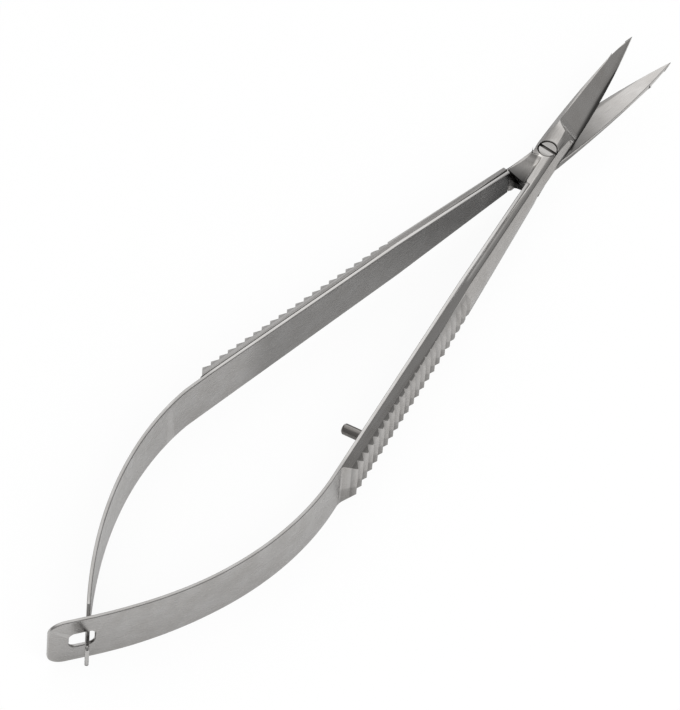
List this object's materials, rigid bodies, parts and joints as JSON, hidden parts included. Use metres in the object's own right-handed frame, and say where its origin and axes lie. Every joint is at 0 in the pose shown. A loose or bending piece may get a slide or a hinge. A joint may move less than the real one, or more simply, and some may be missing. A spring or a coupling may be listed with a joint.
{
  "type": "tweezer scissors",
  "caption": "Small spring-action scissors: short crossing blades on a pivot screw, ridged grip bars, and bowed leaf springs hooked together at the rear.",
  "frame": {"origin": "middle of the open tool's length and width, on the surface that it lies on", "axes": "+X towards the blade tips, +Y towards the left grip, +Z along the pivot, away from the surface that it lies on"},
  "size_m": [0.12, 0.024, 0.008],
  "materials": {
    "half_steel": "satin ground stainless steel, brighter on the ground faces of the blades",
    "spring_steel": "fine satin strip with rounded bright edges",
    "screw_steel": "turned and lightly polished",
    "pin_steel": "dark turned steel"
  },
  "bodies": {
    "spring_pair": {"left_leaf_spring": "spring_steel", "right_leaf_spring": "spring_steel", "pivot_screw": "screw_steel"},
    "left_half": {"left_blade_half": "half_steel"},
    "right_half": {"right_blade_half": "half_steel", "stop_pin": "pin_steel"}
  },
  "joints": [
    {"name": "left_squeeze", "type": "hinge", "parent": "spring_pair", "child": "left_half", "pos_m": [0.0376, 0, 0.004], "axis": [0, 0, 1], "range_deg": [0, 8.4], "stiffness_Nm_per_rad": 0.8, "deforming": ["left_leaf_spring"]},
    {"name": "right_squeeze", "type": "hinge", "parent": "spring_pair", "child": "right_half", "pos_m": [0.0376, 0, 0.004], "axis": [0, 0, 1], "range_deg": [-8.4, 0], "stiffness_Nm_per_rad": 0.8, "deforming": ["right_leaf_spring"]}
  ],
  "couplings": [
    {"joint": "right_squeeze", "follows": "left_squeeze", "ratio": -1}
  ]
}
